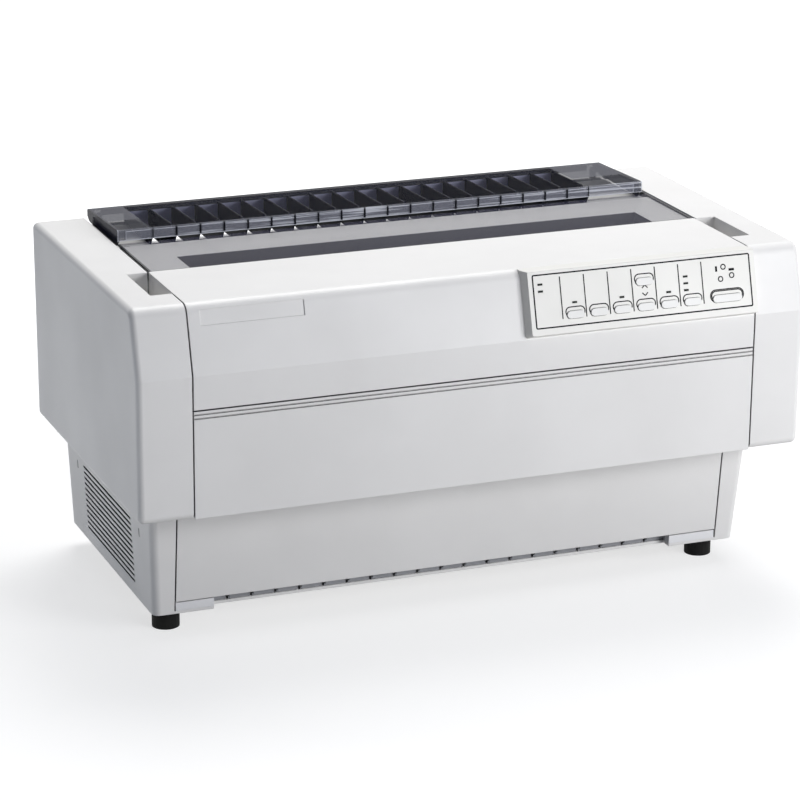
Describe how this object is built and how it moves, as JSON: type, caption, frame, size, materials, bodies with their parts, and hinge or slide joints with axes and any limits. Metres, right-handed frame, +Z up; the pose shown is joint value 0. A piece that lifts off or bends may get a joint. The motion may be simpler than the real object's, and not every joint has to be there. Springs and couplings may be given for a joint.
{
  "type": "dot matrix printer",
  "caption": "Wide carriage dot matrix printer with hinged top and rear covers, fold-down front door, tractor feed and print carriage on a steel chassis.",
  "frame": {"origin": "on the floor under the middle of the printer's outer box", "axes": "+X to the printer's right, +Y to its back, +Z up"},
  "size_m": [0.7, 0.382, 0.369],
  "materials": {
    "case_plastic": "fine spark-eroded texture, warm off-white",
    "panel_plastic": "fine texture, printed dividing lines",
    "smoke_sheet": "clear polished smoke acrylic",
    "fin_plastic": "smoke-tinted moulding",
    "dark_plastic": "satin",
    "foot_rubber": "matt",
    "zinc_steel": "zinc plated sheet",
    "guide_steel": "satin grey paint",
    "ground_steel": "ground bar",
    "motor_black": "black enamel",
    "belt_rubber": "toothed belt",
    "black_plastic": "moulded black",
    "ribbon_fabric": "inked nylon",
    "circuit_board": "green lacquer",
    "port_metal": "tinned shell",
    "light_lens": "clear green lens",
    "carriage_metal": "die cast",
    "head_metal": "black anodised",
    "brass_metal": "turned",
    "platen_rubber": "ground rubber",
    "gear_plastic": "natural nylon",
    "button_plastic": "fine texture"
  },
  "bodies": {
    "housing": {"ac_inlet": "black_plastic", "base_housing": "case_plastic", "carriage_belt": "belt_rubber", "carriage_guide_shaft": "ground_steel", "carriage_motor": "motor_black", "chassis_plate": "zinc_steel", "fan_frame": "black_plastic", "feed_belts": "belt_rubber", "feed_motor": "motor_black", "front_paper_guide": "guide_steel", "ink_ribbon": "ribbon_fabric", "interface_ports": "port_metal", "left_side_cover": "case_plastic", "left_side_frame": "zinc_steel", "lower_front_panel": "case_plastic", "lower_paper_guide": "dark_plastic", "main_board": "circuit_board", "power_supply": "zinc_steel", "rear_housing": "case_plastic", "rear_paper_guide": "guide_steel", "ribbon_cartridge": "black_plastic", "right_side_cover": "case_plastic", "right_side_frame": "zinc_steel", "rubber_feet": "foot_rubber", "tractor_rods": "ground_steel"},
    "front_cover": {"front_cover": "case_plastic", "smoke_plate": "smoke_sheet", "control_panel": "panel_plastic", "panel_board": "circuit_board", "status_lights": "light_lens"},
    "rear_cover": {"rear_cover": "smoke_sheet", "cover_fins": "fin_plastic"},
    "front_door": {"front_door": "case_plastic"},
    "carriage": {"carriage": "carriage_metal", "print_head": "head_metal"},
    "drive_pulley": {"drive_pulley": "brass_metal"},
    "idler_pulley": {"idler_pulley": "brass_metal"},
    "platen": {"platen_roller": "platen_rubber", "platen_shaft": "ground_steel", "platen_gear": "gear_plastic"},
    "feed_pinion": {"feed_pinion": "brass_metal"},
    "front_tractor_shaft": {"front_tractor_shaft": "ground_steel"},
    "rear_tractor_shaft": {"rear_tractor_shaft": "ground_steel"},
    "front_left_tractor": {"front_left_tractor": "black_plastic"},
    "front_right_tractor": {"front_right_tractor": "black_plastic"},
    "front_left_lid": {"front_left_lid": "dark_plastic"},
    "front_right_lid": {"front_right_lid": "dark_plastic"},
    "rear_left_tractor": {"rear_left_tractor": "black_plastic"},
    "rear_right_tractor": {"rear_right_tractor": "black_plastic"},
    "fan_rotor": {"fan_rotor": "black_plastic"},
    "power_switch": {"power_switch": "black_plastic"},
    "panel_button_1": {"panel_button_1": "button_plastic"},
    "panel_button_2": {"panel_button_2": "button_plastic"},
    "panel_button_3": {"panel_button_3": "button_plastic"},
    "panel_button_4": {"panel_button_4": "button_plastic"},
    "panel_button_5": {"panel_button_5": "button_plastic"},
    "panel_button_6": {"panel_button_6": "button_plastic"},
    "panel_button_7": {"panel_button_7": "button_plastic"},
    "panel_button_8": {"panel_button_8": "button_plastic"}
  },
  "joints": [
    {"name": "front_cover_hinge", "type": "hinge", "parent": "housing", "child": "front_cover", "pos_m": [0, 0.068, 0.35], "axis": [-1, 0, 0], "range_deg": [0, 62]},
    {"name": "rear_cover_hinge", "type": "hinge", "parent": "housing", "child": "rear_cover", "pos_m": [0, 0.182, 0.358], "axis": [-1, 0, 0], "range_deg": [0, 85]},
    {"name": "front_door_hinge", "type": "hinge", "parent": "housing", "child": "front_door", "pos_m": [0, -0.17291, 0.153], "axis": [1, 0, 0], "range_deg": [0, 78]},
    {"name": "carriage_slide", "type": "slide", "parent": "housing", "child": "carriage", "axis": [1, 0, 0], "range_m": [0, 0.33]},
    {"name": "drive_pulley_spin", "type": "hinge", "parent": "housing", "child": "drive_pulley", "pos_m": [0.252, -0.088, 0.235], "axis": [0, 0, 1], "range_deg": [-1640, 1640]},
    {"name": "idler_pulley_spin", "type": "hinge", "parent": "housing", "child": "idler_pulley", "pos_m": [-0.252, -0.088, 0.235], "axis": [0, 0, 1], "range_deg": [-1640, 1640]},
    {"name": "platen_spin", "type": "hinge", "parent": "housing", "child": "platen", "pos_m": [0, -0.008, 0.282], "axis": [1, 0, 0], "continuous": true},
    {"name": "feed_pinion_spin", "type": "hinge", "parent": "housing", "child": "feed_pinion", "pos_m": [-0.285, 0.019, 0.24983], "axis": [1, 0, 0], "continuous": true},
    {"name": "front_tractor_spin", "type": "hinge", "parent": "housing", "child": "front_tractor_shaft", "pos_m": [0, -0.138, 0.18], "axis": [1, 0, 0], "continuous": true},
    {"name": "rear_tractor_spin", "type": "hinge", "parent": "housing", "child": "rear_tractor_shaft", "pos_m": [0, 0.12, 0.262], "axis": [1, 0, 0], "continuous": true},
    {"name": "front_left_tractor_slide", "type": "slide", "parent": "housing", "child": "front_left_tractor", "axis": [1, 0, 0], "range_m": [-0.02, 0.04]},
    {"name": "front_right_tractor_slide", "type": "slide", "parent": "housing", "child": "front_right_tractor", "axis": [1, 0, 0], "range_m": [-0.16, 0]},
    {"name": "rear_left_tractor_slide", "type": "slide", "parent": "housing", "child": "rear_left_tractor", "axis": [1, 0, 0], "range_m": [-0.02, 0.04]},
    {"name": "rear_right_tractor_slide", "type": "slide", "parent": "housing", "child": "rear_right_tractor", "axis": [1, 0, 0], "range_m": [-0.16, 0.02]},
    {"name": "front_left_lid_hinge", "type": "hinge", "parent": "front_left_tractor", "child": "front_left_lid", "pos_m": [-0.225, -0.1534, 0.198], "axis": [0, 0, -1], "range_deg": [0, 95]},
    {"name": "front_right_lid_hinge", "type": "hinge", "parent": "front_right_tractor", "child": "front_right_lid", "pos_m": [0.225, -0.1534, 0.198], "axis": [0, 0, 1], "range_deg": [0, 95]},
    {"name": "fan_spin", "type": "hinge", "parent": "housing", "child": "fan_rotor", "pos_m": [-0.3, 0.03, 0.07], "axis": [1, 0, 0], "continuous": true},
    {"name": "power_switch_rock", "type": "hinge", "parent": "housing", "child": "power_switch", "pos_m": [0.19, 0.188, 0.066], "axis": [1, 0, 0], "range_deg": [0, 16]},
    {"name": "panel_button_1_press", "type": "slide", "parent": "front_cover", "child": "panel_button_1", "axis": [0, 0.9648, -0.2631], "range_m": [0, 0.001], "stiffness_N_per_m": 300, "springref_m": -0.0005},
    {"name": "panel_button_2_press", "type": "slide", "parent": "front_cover", "child": "panel_button_2", "axis": [0, 0.9648, -0.2631], "range_m": [0, 0.001], "stiffness_N_per_m": 300, "springref_m": -0.0005},
    {"name": "panel_button_3_press", "type": "slide", "parent": "front_cover", "child": "panel_button_3", "axis": [0, 0.9648, -0.2631], "range_m": [0, 0.001], "stiffness_N_per_m": 300, "springref_m": -0.0005},
    {"name": "panel_button_4_press", "type": "slide", "parent": "front_cover", "child": "panel_button_4", "axis": [0, 0.9648, -0.2631], "range_m": [0, 0.001], "stiffness_N_per_m": 300, "springref_m": -0.0005},
    {"name": "panel_button_5_press", "type": "slide", "parent": "front_cover", "child": "panel_button_5", "axis": [0, 0.9648, -0.2631], "range_m": [0, 0.001], "stiffness_N_per_m": 300, "springref_m": -0.0005},
    {"name": "panel_button_6_press", "type": "slide", "parent": "front_cover", "child": "panel_button_6", "axis": [0, 0.9648, -0.2631], "range_m": [0, 0.001], "stiffness_N_per_m": 300, "springref_m": -0.0005},
    {"name": "panel_button_7_press", "type": "slide", "parent": "front_cover", "child": "panel_button_7", "axis": [0, 0.9648, -0.2631], "range_m": [0, 0.001], "stiffness_N_per_m": 300, "springref_m": -0.0005},
    {"name": "panel_button_8_press", "type": "slide", "parent": "front_cover", "child": "panel_button_8", "axis": [0, 0.9648, -0.2631], "range_m": [0, 0.001], "stiffness_N_per_m": 300, "springref_m": -0.0005}
  ],
  "couplings": [
    {"joint": "drive_pulley_spin", "follows": "carriage_slide", "rad_per_m": 77.519},
    {"joint": "idler_pulley_spin", "follows": "carriage_slide", "rad_per_m": 77.519},
    {"joint": "feed_pinion_spin", "follows": "platen_spin", "ratio": -2.5},
    {"joint": "front_tractor_spin", "follows": "platen_spin", "ratio": 1},
    {"joint": "rear_tractor_spin", "follows": "platen_spin", "ratio": 1}
  ]
}
